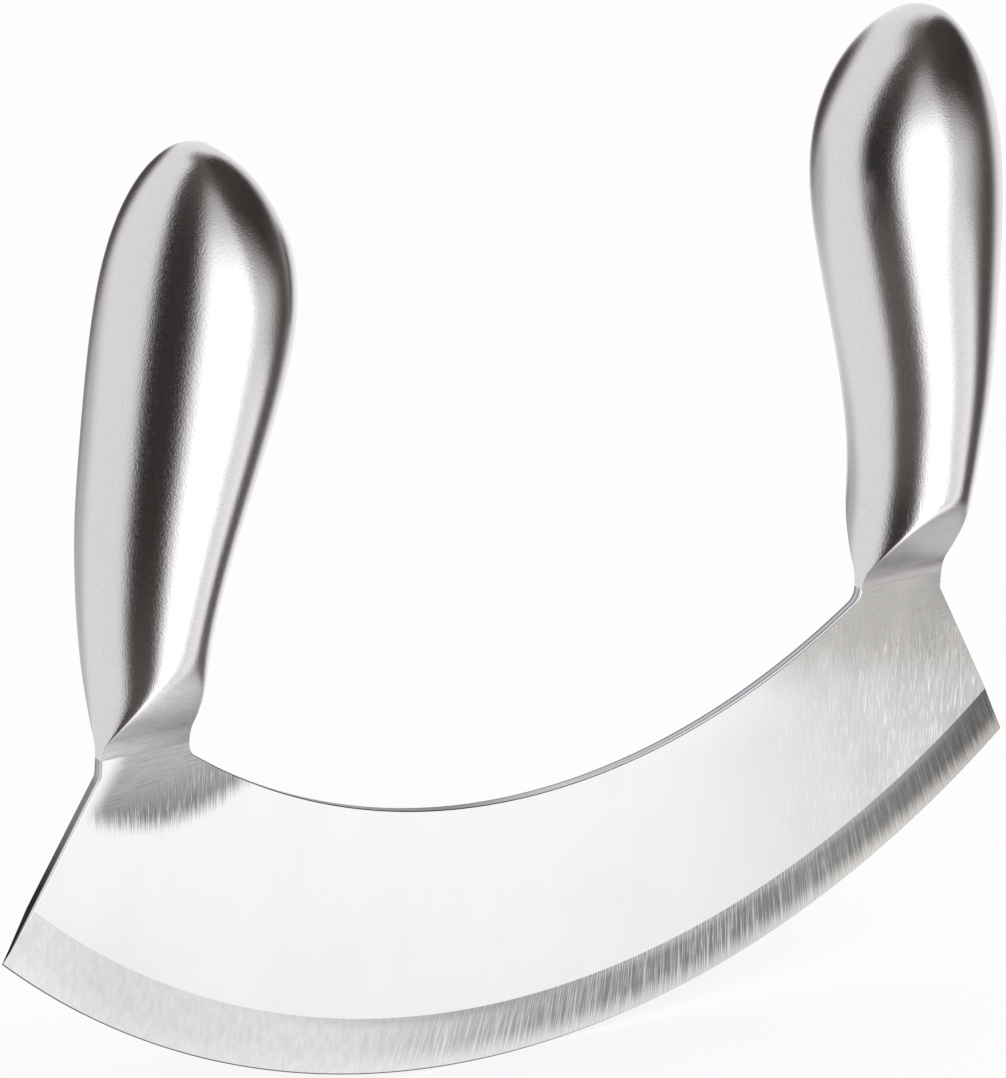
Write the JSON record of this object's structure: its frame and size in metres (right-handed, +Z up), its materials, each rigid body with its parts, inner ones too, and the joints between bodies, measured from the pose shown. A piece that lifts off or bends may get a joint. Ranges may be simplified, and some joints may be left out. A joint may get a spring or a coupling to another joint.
{
  "type": "mezzaluna",
  "caption": "Rocking herb knife: crescent blade with a ground bevel and two upright hollow steel handles, welded on over hidden tangs.",
  "frame": {"origin": "lowest point of the cutting edge, half way between the blade's tips and in the blade's mid plane", "axes": "+X along the blade to the right handle, -Y out of the front face, +Z up through the handles"},
  "size_m": [0.2, 0.0316, 0.1552],
  "materials": {
    "blade_steel": "satin",
    "neck_steel": "satin",
    "handle_steel": "satin",
    "filler_cement": "matte"
  },
  "bodies": {
    "root": {"blade": "blade_steel", "left_bolster": "neck_steel", "left_front_shell": "handle_steel", "left_back_shell": "handle_steel", "left_filler": "filler_cement", "left_fill_plug": "handle_steel", "right_bolster": "neck_steel", "right_front_shell": "handle_steel", "right_back_shell": "handle_steel", "right_filler": "filler_cement", "right_fill_plug": "handle_steel"}
  },
  "joints": []
}
